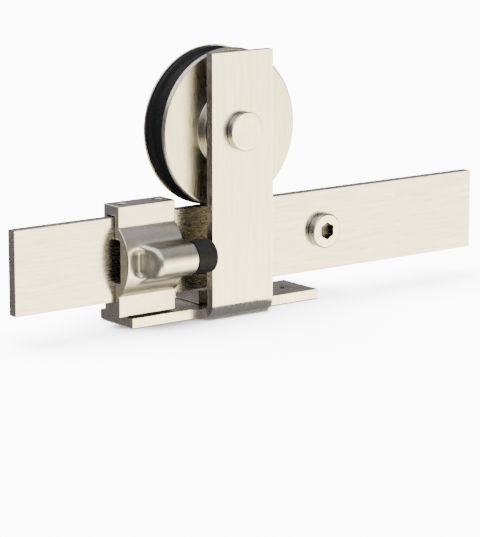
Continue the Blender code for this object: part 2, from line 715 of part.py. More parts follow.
def make_bumper():
    front, soft = BUMPER_RIGHT, 0.8
    back = NOSE_RIGHT + GAP
    bore, bore_end = STUD_BORE_R, back + BUMPER_BORE_DEPTH
    profile = [
        (0.0, front),
        (BUMPER_R - soft, front),
        (BUMPER_R - 0.25, front - 0.25),
        (BUMPER_R, front - soft),
        (BUMPER_R, back + 0.3),
        (BUMPER_R - 0.3, back),
        (bore, back),
        (bore, bore_end),
        (0.0, bore_end),
    ]
    finish(turned("stop_bumper", profile, (0, NOSE_Y, NOSE_Z), "X", SEGMENTS), BLACK_RUBBER)


def make_bumper_stud():
    left = NOSE_RIGHT - STUD_BORE_DEPTH + STUD_FIT
    right = NOSE_RIGHT + GAP + BUMPER_BORE_DEPTH - STUD_FIT
    radius = STUD_R
    profile = [
        (0.0, right), (radius - 0.4, right), (radius, right - 0.4),
        (radius, left + 0.4), (radius - 0.4, left), (0.0, left),
    ]
    finish(turned("bumper_stud", profile, (0, NOSE_Y, NOSE_Z), "X", 16), ZINC)


def make_set_screw(side, x):
    low, high = TRACK_TOP + GAP, STOP_TOP - SET_SCREW_SINK
    profile = [
        (0.0, high), (SET_SCREW_R - 0.4, high), (SET_SCREW_R, high - 0.4),
        (SET_SCREW_R, low + 0.7), (SET_SCREW_R - 0.8, low), (0.0, low),
    ]
    item = turned("set_screw_" + side, profile, (x, 0, 0), "Z", 24)
    socket = hex_socket(
        "set_screw_socket_" + side, SET_SCREW_SOCKET, SET_SCREW_SOCKET_DEPTH, (x, 0, high), "Z", -1.0
    )
    boolean(item, socket)
    finish(item, ZINC)


def hang_on_empty(empty_name, position, names):
    """Parents pieces to an empty on their joint's axis, leaving them where they are."""
    empty = bpy.data.objects.new(empty_name, None)
    parts.objects.link(empty)
    empty.location = Vector(position) * MM
    bpy.context.view_layer.update()
    for name in names:
        child = bpy.data.objects[name]
        world = child.matrix_world.copy()
        child.parent = empty
        child.matrix_parent_inverse = empty.matrix_world.inverted()
        child.matrix_world = world


make_track()
for fixing_side, fixing_x in FIXING_XS.items():
    make_standoff(fixing_side, fixing_x)
    make_track_bolt(fixing_side, fixing_x)
make_bracket()
for screw_side, screw_x in DOOR_SCREW_XS.items():
    countersunk_screw("door_screw_" + screw_side, screw_x, DOOR_SCREW_Y, STOCK, STOCK - GAP, 1.0)
for screw_side, screw_x in BLOCK_SCREW_XS.items():
    countersunk_screw(
        "block_screw_" + screw_side, screw_x, BLOCK_SCREW_Y, 0.0, BLOCK_SCREW_LENGTH, -1.0
    )
make_anti_jump_block()
make_axle()
rear_spacer_end = BOSS_REAR + 2 * GAP
washer_front = rear_spacer_end + GAP
make_sleeve("axle_spacer_front", SPACER_BORE_R, SPACER_R, STRAP_BACK + GAP, BEARING_FRONT - GAP)
make_sleeve("axle_spacer_rear", SPACER_BORE_R, SPACER_R, BEARING_BACK + GAP, rear_spacer_end)
make_sleeve(
    "axle_washer", AXLE_R + GAP, WASHER_R, washer_front, washer_front + WASHER_THICK, ZINC, 0.25
)
make_nut(washer_front + WASHER_THICK + GAP)
make_wheel_body()
make_tread()
make_bearing()
make_retaining_ring()
make_stop_body()
make_bumper()
make_bumper_stud()
for screw_side, screw_x in SET_SCREW_XS.items():
    make_set_screw(screw_side, screw_x)

hang_on_empty("wheel_axis", (0, 0, WHEEL_Z), [
    "wheel_body", "wheel_tread", "bearing_outer_ring", "retaining_ring",
])
hang_on_empty("cage_axis", (0, 0, WHEEL_Z), ["bearing_cage"] + [
    "bearing_ball_%d" % (i + 1) for i in range(BALL_COUNT)
])
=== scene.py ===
"""Looks of the sliding barn door hardware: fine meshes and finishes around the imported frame.

Everything is in the frame's metres. Sizes written here are in millimetres and are turned into
metres where a mesh is made. +X runs along the track, +Y points at the wall and +Z up.
"""

import json
import math

import bmesh
import bpy
import numpy as np
from mathutils import Matrix, Vector


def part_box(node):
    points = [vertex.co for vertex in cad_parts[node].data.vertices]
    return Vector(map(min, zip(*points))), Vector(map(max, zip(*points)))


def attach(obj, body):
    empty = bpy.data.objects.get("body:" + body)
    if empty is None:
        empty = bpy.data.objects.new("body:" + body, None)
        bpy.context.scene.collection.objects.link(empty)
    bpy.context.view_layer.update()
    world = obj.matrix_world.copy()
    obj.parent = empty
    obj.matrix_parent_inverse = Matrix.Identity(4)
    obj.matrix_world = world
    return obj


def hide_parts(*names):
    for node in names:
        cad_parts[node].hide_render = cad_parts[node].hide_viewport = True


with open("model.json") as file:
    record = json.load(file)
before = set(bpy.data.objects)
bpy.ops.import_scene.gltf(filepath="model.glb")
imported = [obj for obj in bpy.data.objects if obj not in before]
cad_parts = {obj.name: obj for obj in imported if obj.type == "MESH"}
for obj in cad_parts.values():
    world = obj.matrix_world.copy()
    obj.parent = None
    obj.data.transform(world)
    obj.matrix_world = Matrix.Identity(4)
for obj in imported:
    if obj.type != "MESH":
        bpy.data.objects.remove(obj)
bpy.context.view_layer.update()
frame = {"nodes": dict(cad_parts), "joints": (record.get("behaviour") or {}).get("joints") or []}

MM = 0.001


def box_of(node):
    """A node's lowest and highest corner in millimetres."""
    low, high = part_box(node)
    return low / MM, high / MM


# Places read from the frame, in millimetres.
AXLE = Vector(next(j for j in frame["joints"] if j["name"] == "wheel_spin")["pos_m"]) / MM
TRACK_LOW, TRACK_HIGH = box_of("track_bar")
STOP_LOW, STOP_HIGH = box_of("stop_body")
BRACKET_LOW, BRACKET_HIGH = box_of("hanger_bracket")
BUMPER_LOW, BUMPER_HIGH = box_of("stop_bumper")
WHEEL_LOW, WHEEL_HIGH = box_of("wheel_body")
TREAD_LOW, TREAD_HIGH = box_of("wheel_tread")
CAP_LOW, CAP_HIGH = box_of("axle_bolt")
NOSE_Y = (BUMPER_LOW.y + BUMPER_HIGH.y) / 2
NOSE_Z = (BUMPER_LOW.z + BUMPER_HIGH.z) / 2

# Mesh tools.


def clean_mesh(name, work):
    """Turns a bmesh in millimetres into a mesh in metres, with its faces pointing out."""
    bmesh.ops.recalc_face_normals(work, faces=work.faces)
    bmesh.ops.scale(work, vec=(MM, MM, MM), verts=work.verts)
    mesh = bpy.data.meshes.new(name)
    work.to_mesh(mesh)
    work.free()
    return mesh


def add_piece(name, mesh):
    item = bpy.data.objects.new(name, mesh)
    bpy.context.scene.collection.objects.link(item)
    return item


def apply_modifiers(item):
    bpy.context.view_layer.update()
    graph = bpy.context.evaluated_depsgraph_get()
    mesh = bpy.data.meshes.new_from_object(item.evaluated_get(graph))
    item.modifiers.clear()
    item.data = mesh
    return item


def rounded(points, steps=5, closed=True):
    """An outline whose corners are arcs. A point is (a, b), or (a, b, radius) where it is rounded."""
    result = []
    last = len(points) - 1
    for i, point in enumerate(points):
        corner = Vector(point[:2])
        radius = point[2] if len(point) > 2 else 0.0
        if not radius or (not closed and i in (0, last)):
            result.append(corner)
            continue
        before = (Vector(points[i - 1][:2]) - corner).normalized()
        after = (Vector(points[(i + 1) % len(points)][:2]) - corner).normalized()
        half = before.angle(after) / 2
        centre = corner + (before + after).normalized() * radius / math.sin(half)
        start = corner + before * radius / math.tan(half) - centre
        end = corner + after * radius / math.tan(half) - centre
        sweep = start.angle(end)
        for k in range(steps + 1):
            t = k / steps
            blend = start * math.sin((1 - t) * sweep) + end * math.sin(t * sweep)
            result.append(centre + blend / math.sin(sweep))
    return result


def turned(name, profile, centre, axis="Y", steps=96):
    """A turned piece round a line through centre.

    The profile's points are (radius, place along the axis).
    """
    work = bmesh.new()
    rings = []
    for radius, along in profile:
        ring = []
        for k in range(steps if radius > 0 else 1):
            angle = 2 * math.pi * k / steps
            u, v = radius * math.cos(angle), radius * math.sin(angle)
            spot = {
                "X": (along, centre[1] + u, centre[2] + v),
                "Y": (centre[0] + v, along, centre[2] + u),
                "Z": (centre[0] + u, centre[1] + v, along),
            }[axis]
            ring.append(work.verts.new(spot))
        rings.append(ring)
    closed = profile[0][0] > 0
    pairs = list(zip(rings, rings[1:])) + ([(rings[-1], rings[0])] if closed else [])
    for first, second in pairs:
        for k in range(steps):
            corners = [first[k % len(first)], first[(k + 1) % len(first)]]
            corners += [second[(k + 1) % len(second)], second[k % len(second)]]
            distinct = [c for i, c in enumerate(corners) if c not in corners[:i]]
            work.faces.new(distinct)
    return add_piece(name, clean_mesh(name, work))


def cutter(name, front_r, back_r, sides, centre, length):
    """A straight or pointed bar along Y, by its radius at its front end and at its wall end."""
    work = bmesh.new()
    bmesh.ops.create_cone(
        work, cap_ends=True, segments=sides, radius1=front_r, radius2=back_r, depth=length
    )
    place = Matrix.Translation(centre) @ Matrix.Rotation(-math.pi / 2, 4, "X")
    bmesh.ops.transform(work, matrix=place, verts=work.verts)
    return add_piece(name, clean_mesh(name, work))


def cut(item, *tools):
    for tool in tools:
        modifier = item.modifiers.new(tool.name, "BOOLEAN")
        modifier.operation = "DIFFERENCE"
        modifier.object = tool
        modifier.solver = "EXACT"
    apply_modifiers(item)
    for tool in tools:
        bpy.data.objects.remove(tool, do_unlink=True)
    return item


def bevel(item, width):
    modifier = item.modifiers.new("Bevel", "BEVEL")
    modifier.width = width * MM
    modifier.segments = 3
    modifier.limit_method = "ANGLE"
    modifier.angle_limit = math.radians(40)
    return apply_modifiers(item)


def weigh_normals(item):
    """Keeps the shading of large faces flat where they meet small bevels."""
    modifier = item.modifiers.new("Weighted", "WEIGHTED_NORMAL")
    modifier.keep_sharp = True
    modifier.weight = 100


def settle(item, material, body, slot, *nodes, angle=35.0):
    """Shades a finished piece, gives it a material and body, and hides the nodes it replaces. Its slot
    is not used.
    """
    item.data.materials.clear()
    item.data.materials.append(material)
    item.data.shade_smooth()
    item.data.set_sharp_from_angle(angle=math.radians(angle))
    weigh_normals(item)
    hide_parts(*nodes)
    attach(item, body)
    return item


# Materials. Lengths are in millimetres.

STEEL = (0.45, 0.437, 0.415)
WHEEL_STEEL = (0.41, 0.395, 0.365)
GREY_STEEL = (0.34, 0.336, 0.33)
RACE_STEEL = (0.42, 0.425, 0.435)
NYLON_BLACK = (0.0022, 0.0022, 0.0024)
RUBBER_BLACK = (0.0040, 0.0040, 0.0043)
RING_SPREAD = 60.0
CLOUD_LENGTH = 14.0
EDGE_WEAR = 0.5
EDGE_POLISH, SMOOTHEST = 0.35, 0.06
STREAK_SHARE, CLOUD_SHARE = 0.8, 0.4


class Look:
    """A material under construction, with short ways to add and join its nodes."""

    def __init__(self, name, colour, roughness, metallic):
        self.material = bpy.data.materials.new(name)
        self.material.use_nodes = True
        self.tree = self.material.node_tree
        self.shader = self.tree.nodes["Principled BSDF"]
        self.colour = colour
        self.shader.inputs["Base Color"].default_value = (*colour, 1.0)
        self.shader.inputs["Roughness"].default_value = roughness
        self.shader.inputs["Metallic"].default_value = metallic
        self.place = self.add("ShaderNodeTexCoord").outputs["Object"]

    def add(self, kind, **settings):
        node = self.tree.nodes.new(kind)
        for key, value in settings.items():
            setattr(node, key, value)
        return node

    def feed(self, socket, value):
        if isinstance(value, bpy.types.NodeSocket):
            self.tree.links.new(value, socket)
        else:
            socket.default_value = value

    def math(self, operation, first, second=0.0):
        node = self.add("ShaderNodeMath", operation=operation)
        self.feed(node.inputs[0], first)
        self.feed(node.inputs[1], second)
        return node.outputs[0]

    def remap(self, value, low, high, out_low, out_high, smooth=True):
        node = self.add("ShaderNodeMapRange")
        node.interpolation_type = "SMOOTHSTEP" if smooth else "LINEAR"
        node.inputs["From Min"].default_value = low
        node.inputs["From Max"].default_value = high
        node.inputs["To Min"].default_value = out_low
        node.inputs["To Max"].default_value = out_high
        self.feed(node.inputs["Value"], value)
        return node.outputs["Result"]

    def noise(self, vector, lengths, detail=4.0, roughness=0.6):
        """Noise whose features are this long, in millimetres, along the vector's three axes."""
        mapping = self.add("ShaderNodeMapping")
        mapping.inputs["Scale"].default_value = [1.0 / (length * MM) for length in lengths]
        self.feed(mapping.inputs["Vector"], vector)
        noise = self.add("ShaderNodeTexNoise")
        noise.inputs["Scale"].default_value = 1.0
        noise.inputs["Detail"].default_value = detail
        noise.inputs["Roughness"].default_value = roughness
        self.feed(noise.inputs["Vector"], mapping.outputs["Vector"])
        return noise.outputs["Fac"]

    def shade(self, amount, factor):
        """Darkens the base colour by the amount where the factor is low, and lightens it where high."""
        self.scale_base(self.remap(factor, 0.35, 0.65, 1.0 - amount, 1.0 + amount, smooth=False))

    def scale_base(self, gain):
        scale = self.add("ShaderNodeVectorMath", operation="SCALE")
        base = self.shader.inputs["Base Color"]
        if base.is_linked:
            self.feed(scale.inputs[0], base.links[0].from_socket)
        else:
            scale.inputs[0].default_value = self.colour
        self.feed(scale.inputs["Scale"], gain)
        self.feed(base, scale.outputs["Vector"])

    def bump(self, height, depth_mm):
        node = self.add("ShaderNodeBump")
        node.inputs["Distance"].default_value = depth_mm * MM
        node.inputs["Strength"].default_value = 1.0
        self.feed(node.inputs["Height"], height)
        normal = self.shader.inputs["Normal"]
        if normal.is_linked:
            self.feed(node.inputs["Normal"], normal.links[0].from_socket)
        self.feed(normal, node.outputs["Normal"])

    def edges(self, width_mm):
        """1 on rounded and worn edges, 0 on open faces. The rubber is painted lighter there: partly
        wear, partly painted highlight.
        """
        soft = self.add("ShaderNodeBevel", samples=4)
        soft.inputs["Radius"].default_value = width_mm * MM
        face = self.add("ShaderNodeNewGeometry").outputs["Normal"]
        dot = self.add("ShaderNodeVectorMath", operation="DOT_PRODUCT")
        self.feed(dot.inputs[0], soft.outputs["Normal"])
        self.feed(dot.inputs[1], face)
        flat, bent = 0.985, 0.86
        return self.remap(dot.outputs["Value"], flat, bent, 0.0, 1.0)

    def paint_socket_shade(self, mouth, radius, gain):
        """Painted shade in a socket along Y: multiplies the base colour by the gain behind its mouth.
        """
        offset = self.add("ShaderNodeVectorMath", operation="SUBTRACT")
        self.feed(offset.inputs[0], self.place)
        offset.inputs[1].default_value = mouth * MM
        split = self.add("ShaderNodeSeparateXYZ")
        self.feed(split.inputs[0], offset.outputs["Vector"])
        squares = [self.math("MULTIPLY", split.outputs[a], split.outputs[a]) for a in ("X", "Z")]
        near = self.math("LESS_THAN", self.math("ADD", *squares), (radius * MM) ** 2)
        inside = self.math("MULTIPLY", near, self.math("GREATER_THAN", split.outputs["Y"], 0.0))
        self.scale_base(self.remap(inside, 0.0, 1.0, 1.0, gain, smooth=False))

    def rings(self, centre):
        """A vector for faces turned about Y: fine across the cut, and nearly constant around it."""
        offset = self.add("ShaderNodeVectorMath", operation="SUBTRACT")
        self.feed(offset.inputs[0], self.place)
        offset.inputs[1].default_value = Vector(centre) * MM
        across = self.add("ShaderNodeVectorMath", operation="MULTIPLY")
        self.feed(across.inputs[0], offset.outputs["Vector"])
        across.inputs[1].default_value = (1, 0, 1)
        reach = self.add("ShaderNodeVectorMath", operation="LENGTH")
        self.feed(reach.inputs[0], across.outputs["Vector"])
        split = self.add("ShaderNodeSeparateXYZ")
        self.feed(split.inputs[0], offset.outputs["Vector"])
        depth = self.math("ADD", reach.outputs["Value"], split.outputs["Y"])
        around = self.add("ShaderNodeVectorMath", operation="NORMALIZE")
        self.feed(around.inputs[0], across.outputs["Vector"])
        turn = self.add("ShaderNodeSeparateXYZ")
        self.feed(turn.inputs[0], around.outputs["Vector"])
        join = self.add("ShaderNodeCombineXYZ")
        self.feed(join.inputs[0], depth)
        self.feed(join.inputs[1], self.math("MULTIPLY", turn.outputs["X"], RING_SPREAD * MM))
        self.feed(join.inputs[2], self.math("MULTIPLY", turn.outputs["Z"], RING_SPREAD * MM))
        return join.outputs["Vector"]


def metal(name, colour, roughness, vector_of, fine, broad,
          tone, depth, gloss=0.05, anisotropy=0.0, turn=0.0):
    """Brushed or turned metal.

    vector_of gives the grain's coordinates, and fine and broad are its lengths in millimetres.
    """
    look = Look(name, colour, roughness, 1.0)
    vector = vector_of(look)
    grain = look.noise(vector, fine, detail=5.0, roughness=0.65)
    streak = look.noise(vector, broad, detail=3.0, roughness=0.55)
    cloud = look.noise(look.place, [CLOUD_LENGTH] * 3, detail=2.0, roughness=0.5)
    edge = look.edges(EDGE_WEAR)
    look.shade(tone, grain)
    look.shade(tone * STREAK_SHARE, streak)
    look.shade(tone * CLOUD_SHARE, cloud)
    worn = look.math("MULTIPLY", edge, -EDGE_POLISH * roughness)
    spread = look.remap(grain, 0.3, 0.7, roughness - gloss, roughness + gloss, smooth=False)
    cloudy = look.remap(cloud, 0.35, 0.65, -0.4 * gloss, 0.4 * gloss, smooth=False)
    total = look.math("ADD", look.math("ADD", spread, cloudy), worn)
    look.feed(look.shader.inputs["Roughness"], look.math("MAXIMUM", total, SMOOTHEST))
    look.bump(grain, depth)
    look.bump(streak, depth * 3)
    look.shader.inputs["Anisotropic"].default_value = anisotropy
    look.shader.inputs["Anisotropic Rotation"].default_value = turn
    if anisotropy:
        around = look.add("ShaderNodeTangent", direction_type="RADIAL", axis="Z")
        look.feed(look.shader.inputs["Tangent"], around.outputs["Tangent"])
    return look


def plain(look):
    return look.place


def turned_about(centre):
    return lambda look: look.rings(centre)


def brushed_track():
    return metal("brushed_track", STEEL, 0.27, plain, (7.0, 0.5, 0.42), (30.0, 3.0, 2.0),
                 gloss=0.06, tone=0.15, depth=0.0004, anisotropy=0.7, turn=0.25).material


def brushed_bracket():
    return metal("brushed_bracket", STEEL, 0.28, plain, (0.5, 1.0, 9.0), (2.6, 4.0, 50.0),
                 gloss=0.06, tone=0.11, depth=0.0004, anisotropy=0.5).material


def turned_steel(name, centre):
    return metal(name, STEEL, 0.27, turned_about(centre), (0.35, 30.0, 30.0), (1.6, 60.0, 60.0),
                 tone=0.1, depth=0.0015)


def brushed_wheel():
    """The wheel's face is brushed like the strap, a little duller."""
    return metal("brushed_wheel", WHEEL_STEEL, 0.3, plain, (0.6, 1.0, 9.0), (3.5, 4.0, 40.0),
                 tone=0.1, depth=0.0004, anisotropy=0.4).material


def cast_stop():
    """Cast metal, blasted and then rubbed, so that its grain has no clear direction."""
    return metal("cast_stop", STEEL, 0.33, plain, (0.9, 0.5, 0.5), (6.0, 4.0, 4.0),
                 tone=0.07, depth=0.001).material


def plated():
    return metal("plated_fastener", GREY_STEEL, 0.3, plain, (1.2, 1.2, 1.2), (5.0, 5.0, 5.0),
                 tone=0.12, depth=0.002).material


def bearing_steel():
    return metal("bearing_steel", RACE_STEEL, 0.14, turned_about(AXLE), (0.3, 20.0, 20.0),
                 (1.5, 50.0, 50.0), gloss=0.03, tone=0.08, depth=0.001).material


def black_nylon():
    look = Look("black_nylon", NYLON_BLACK, 0.42, 0.0)
    vector = look.rings(AXLE)
    lathe = look.noise(vector, (0.3, 40.0, 40.0))
    mottle = look.noise(look.place, (1.6, 1.6, 1.6), detail=3.0)
    look.shade(0.25, mottle)
    look.feed(look.shader.inputs["Roughness"], look.remap(lathe, 0.3, 0.7, 0.34, 0.52, smooth=False))
    look.bump(lathe, 0.01)
    look.shader.inputs["Specular IOR Level"].default_value = 0.03
    return look.material


def black_rubber():
    look = Look("black_rubber", RUBBER_BLACK, 0.62, 0.0)
    grit = look.noise(look.place, (0.25, 0.25, 0.25), detail=3.0)
    mottle = look.noise(look.place, (3.0, 3.0, 3.0), detail=3.0)
    edge = look.edges(0.6)
    look.shade(0.18, mottle)
    # Lighter on the rounded edges: partly wear, partly painted highlight.
    look.shade(0.35, look.remap(edge, 0.0, 1.0, 0.5, 0.75, smooth=False))
    look.feed(look.shader.inputs["Roughness"], look.remap(mottle, 0.3, 0.7, 0.55, 0.7, smooth=False))
    look.bump(grit, 0.02)
    look.shader.inputs["Specular IOR Level"].default_value = 0.08
    return look.material


# Nodes that keep the frame's own shape.

WELD_REACH, REAL_CORNER = 0.002, 32


def smoothing_nodes():
    """Joins a node's loose triangles and shades everything but its real corners smooth."""
    group = bpy.data.node_groups.new("weld_and_smooth", "GeometryNodeTree")
    group.interface.new_socket("Geometry", in_out="INPUT", socket_type="NodeSocketGeometry")
    group.interface.new_socket("Geometry", in_out="OUTPUT", socket_type="NodeSocketGeometry")
    nodes, links = group.nodes, group.links
    start = nodes.new("NodeGroupInput")
    drop = nodes.new("GeometryNodeRemoveAttribute")
    drop.inputs["Name"].default_value = "custom_normal"
    weld = nodes.new("GeometryNodeMergeByDistance")
    weld.inputs["Distance"].default_value = WELD_REACH * MM
    faces = nodes.new("GeometryNodeSetShadeSmooth")
    edges = nodes.new("GeometryNodeSetShadeSmooth")
    edges.domain = "EDGE"
    edges.inputs["Shade Smooth"].default_value = False
    bend = nodes.new("GeometryNodeInputMeshEdgeAngle")
    sharp = nodes.new("FunctionNodeCompare")
    sharp.operation = "GREATER_THAN"
    sharp.inputs[1].default_value = math.radians(REAL_CORNER)
    end = nodes.new("NodeGroupOutput")
    chain = [start, drop, weld, faces, edges, end]
    for first, second in zip(chain, chain[1:]):
        links.new(first.outputs[0], second.inputs[0])
    links.new(bend.outputs["Unsigned Angle"], sharp.inputs[0])
    links.new(sharp.outputs[0], edges.inputs["Selection"])
    return group


SMOOTHING = smoothing_nodes()


def carry(material, *nodes):
    """Keeps CAD nodes as they are, welded and shaded smooth, with a better material."""
    for name in nodes:
        item = frame["nodes"][name]
        item.modifiers.new("Smooth", "NODES").node_group = SMOOTHING
        weigh_normals(item)
        item.data.materials.clear()
        item.data.materials.append(material)


# Fixings.

GAP, OVERSHOOT = 0.3, 1.0
HEAD_THICK, HEAD_EDGE, BOLT_SHANK_R = 4.1, 1.2, 5.0
SOCKET_FLATS, SOCKET_DEPTH = 8.6, 3.2
DRILL_REACH, DRILL_INSET = 2.4, 0.05
# Painted shade inside the bolts' hex sockets: how far it reaches and how dark it is.
SOCKET_SHADE_R, SOCKET_SHADE = SOCKET_FLATS * 0.56, 0.13
STANDOFF_BORE_R = 5.5


def hex_socket(item, mouth):
    """Cuts a hexagon socket that ends in a drill's cone."""
    corner_r = SOCKET_FLATS / 2 / math.cos(math.pi / 6)
    middle = mouth + Vector((0, (SOCKET_DEPTH - OVERSHOOT) / 2, 0))
    length = SOCKET_DEPTH + OVERSHOOT
    walls = cutter(item.name + "_socket", corner_r, corner_r, 6, middle, length)
    start = SOCKET_DEPTH - DRILL_INSET
    middle = mouth + Vector((0, start + DRILL_REACH / 2, 0))
    drill_r = SOCKET_FLATS / 2 - DRILL_INSET
    cut(item, walls, cutter(item.name + "_drill", drill_r, 0.0, 48, middle, DRILL_REACH))


def track_bolt(side):
    low, high = box_of("track_bolt_" + side)
    centre = (low + high) / 2
    head_r = (high.x - low.x) / 2
    face, seat = low.y, low.y + HEAD_THICK
    profile = rounded([
        (0.0, face), (head_r, face, HEAD_EDGE), (head_r, seat), (BOLT_SHANK_R, seat),
        (BOLT_SHANK_R, high.y, 0.6), (0.0, high.y),
    ], closed=False)
    item = turned("bolt_" + side, profile, centre)
    mouth = Vector((centre.x, face, centre.z))
    hex_socket(item, mouth)
    look = turned_steel("turned_bolt_" + side, centre)
    # The socket's inside is painted darker: painted shade.
    look.paint_socket_shade(mouth + Vector((0, GAP, 0)), SOCKET_SHADE_R, SOCKET_SHADE)
    settle(item, look.material, "track", "turned_steel", "track_bolt_" + side)


def standoff(side):
    low, high = box_of("standoff_" + side)
    centre = (low + high) / 2
    radius = (high.x - low.x) / 2
    profile = rounded([
        (STANDOFF_BORE_R, low.y, 0.3), (radius, low.y, 0.7),
        (radius, high.y, 0.7), (STANDOFF_BORE_R, high.y, 0.3),
    ])
    item = turned("spacer_" + side, profile, centre)
    look = turned_steel("turned_spacer_" + side, centre)
    settle(item, look.material, "track", "turned_steel", "standoff_" + side)


# Hanger.

STOCK, STRAP_WIDTH = 5.0, 40.0
BEND_OUTER_R, CORNER_FILLET = 8.0, 10.0
FOOT_FRONT = -9.8
EDGE_BREAK = 0.4
BEND_STEPS = 24
AXLE_HOLE_R, AXLE_R = 6.0, 5.7
SINK_R, SINK_SHANK_R, SINK_RIM = 4.9, 2.8, 0.4


def fold(length):
    """Where a point of the flat blank goes, by its distance from the foot's front edge."""
    strap_middle = BRACKET_LOW.y + STOCK / 2
    radius = BEND_OUTER_R - STOCK / 2
    flat = FOOT_FRONT - BRACKET_LOW.y - BEND_OUTER_R
    if length <= flat:
        return FOOT_FRONT - length, STOCK / 2
    angle = (length - flat) / radius
    if angle < math.pi / 2:
        along, up = math.sin(angle), math.cos(angle)
        return strap_middle + radius * (1 - along), STOCK / 2 + radius * (1 - up)
    return strap_middle, STOCK / 2 + radius + (length - flat - radius * math.pi / 2)


def hanger_bracket(look):
    """A flat T-shaped blank, folded, thickened, with its edges broken and its holes cut."""
    radius = BEND_OUTER_R - STOCK / 2
    flat = FOOT_FRONT - BRACKET_LOW.y - BEND_OUTER_R
    bend_end = flat + radius * math.pi / 2
    blank_top = bend_end + BRACKET_HIGH.z - STOCK / 2 - radius
    half, depth = STRAP_WIDTH / 2, BRACKET_HIGH.y - FOOT_FRONT
    left, right = BRACKET_LOW.x, BRACKET_HIGH.x
    corners = rounded([
        (right, 0.0), (half, 0.0, CORNER_FILLET), (half, blank_top), (-half, blank_top),
        (-half, 0.0, CORNER_FILLET), (left, 0.0), (left, -depth), (right, -depth),
    ], steps=16)
    work = bmesh.new()
    work.faces.new([work.verts.new((u, v, 0.0)) for u, v in corners])
    cuts = [flat + (bend_end - flat) * i / BEND_STEPS for i in range(BEND_STEPS + 1)] + [0.0]
    for level in cuts:
        parts = list(work.verts) + list(work.edges) + list(work.faces)
        place = (0, level, 0)
        bmesh.ops.bisect_plane(work, geom=parts, plane_co=place, plane_no=(0, 1, 0), dist=0.001)
    for vert in work.verts:
        y, z = fold(vert.co.y)
        vert.co = (vert.co.x, y, z)
    item = add_piece("bracket", clean_mesh("bracket", work))
    solid = item.modifiers.new("Solidify", "SOLIDIFY")
    solid.thickness = STOCK * MM
    solid.offset = 0.0
    solid.use_even_offset = True
    apply_modifiers(item)
    bevel(item, EDGE_BREAK)
    hole = (AXLE.x, BRACKET_LOW.y, AXLE.z)
    tools = [cutter("axle_hole", AXLE_HOLE_R, AXLE_HOLE_R, 64, hole, 6 * STOCK)]
    near, cone_end, far = -OVERSHOOT, SINK_RIM + SINK_R - SINK_SHANK_R, STOCK + 2 * OVERSHOOT
    sink = ((0.0, near), (SINK_R, near), (SINK_R, SINK_RIM), (SINK_SHANK_R, cone_end),
            (SINK_SHANK_R, far), (0.0, far))
    for kind, face, up in (("door_screw_", STOCK, 1), ("block_screw_", 0.0, -1)):
        for side in ("left", "right"):
            low, high = box_of(kind + side)
            spot = ((low.x + high.x) / 2, (low.y + high.y) / 2, 0.0)
            profile = [(r, face - down * up) for r, down in sink]
            tools.append(turned(kind + side + "_sink", profile, spot, "Z", 48))
    cut(item, *tools)
    settle(item, look, "hanger", "brushed_bracket", "hanger_bracket")


def axle_cap():
    """The plain cap in front of the strap, and the shank behind it."""
    head_r = (CAP_HIGH.x - CAP_LOW.x) / 2
    seat = BRACKET_LOW.y - GAP
    profile = rounded([
        (0.0, CAP_LOW.y), (head_r, CAP_LOW.y, 0.7), (head_r, seat), (AXLE_R, seat),
        (AXLE_R, CAP_HIGH.y, 0.8), (0.0, CAP_HIGH.y),
    ], closed=False)
    item = turned("axle", profile, AXLE)
    settle(item, turned_steel("turned_axle", AXLE).material, "hanger", "turned_steel", "axle_bolt")


def sleeve(node, look, slot):
    """A spacer or washer on the axle."""
    low, high = box_of(node)
    radius, bore = (high.x - low.x) / 2, AXLE_HOLE_R
    profile = rounded([
        (bore, low.y, 0.15), (radius, low.y, 0.4), (radius, high.y, 0.4), (bore, high.y, 0.15),
    ])
    settle(turned(node + "_fine", profile, AXLE), look, "hanger", slot, node)


# Wheel.

FLANGE_THICK, FLANGE_ROUND = 2.2, 1.5
TREAD_SEAT_R, TREAD_GAP, TREAD_FIT, GROOVE_HALF = 35.5, 0.15, 0.2, 3.9
BEARING_SEAT_R, BEARING_HALF, SHOULDER_R = 16.15, 5.15, 12.5
CLIP_DEPTH, CLIP_WIDTH = 1.0, 1.5
BOSS_ROOT_R, BOSS_R, REAR_BOSS_R = 21.3, 20.4, 21.0


def wheel(look):
    """Two thin flanges on a drum, with a boss at each side and a seat for the bearing."""
    groove_front, groove_back = TREAD_LOW.y - TREAD_GAP, TREAD_HIGH.y + TREAD_GAP
    front, back = groove_front - FLANGE_THICK, groove_back + FLANGE_THICK
    rim = WHEEL_HIGH.x - AXLE.x
    seat, clip = BEARING_SEAT_R, BEARING_SEAT_R + CLIP_DEPTH
    clip_front = -BEARING_HALF - CLIP_WIDTH
    profile = rounded([
        (seat, WHEEL_LOW.y, 0.3), (BOSS_R, WHEEL_LOW.y, 1.1), (BOSS_ROOT_R, front, 0.5),
        (rim, front, FLANGE_ROUND), (rim, groove_front, 0.3),
        (TREAD_SEAT_R, groove_front, 0.3), (TREAD_SEAT_R, groove_back, 0.3),
        (rim, groove_back, 0.3), (rim, back, FLANGE_ROUND),
        (REAR_BOSS_R, back, 0.5), (REAR_BOSS_R, WHEEL_HIGH.y, 0.6), (SHOULDER_R, WHEEL_HIGH.y, 0.2),
        (SHOULDER_R, BEARING_HALF), (seat, BEARING_HALF, 0.2),
        (seat, -BEARING_HALF), (clip, -BEARING_HALF), (clip, clip_front), (seat, clip_front),
    ])
    item = turned("wheel", profile, AXLE, steps=192)
    settle(item, look, "wheel", "turned_wheel", "wheel_body", angle=40)


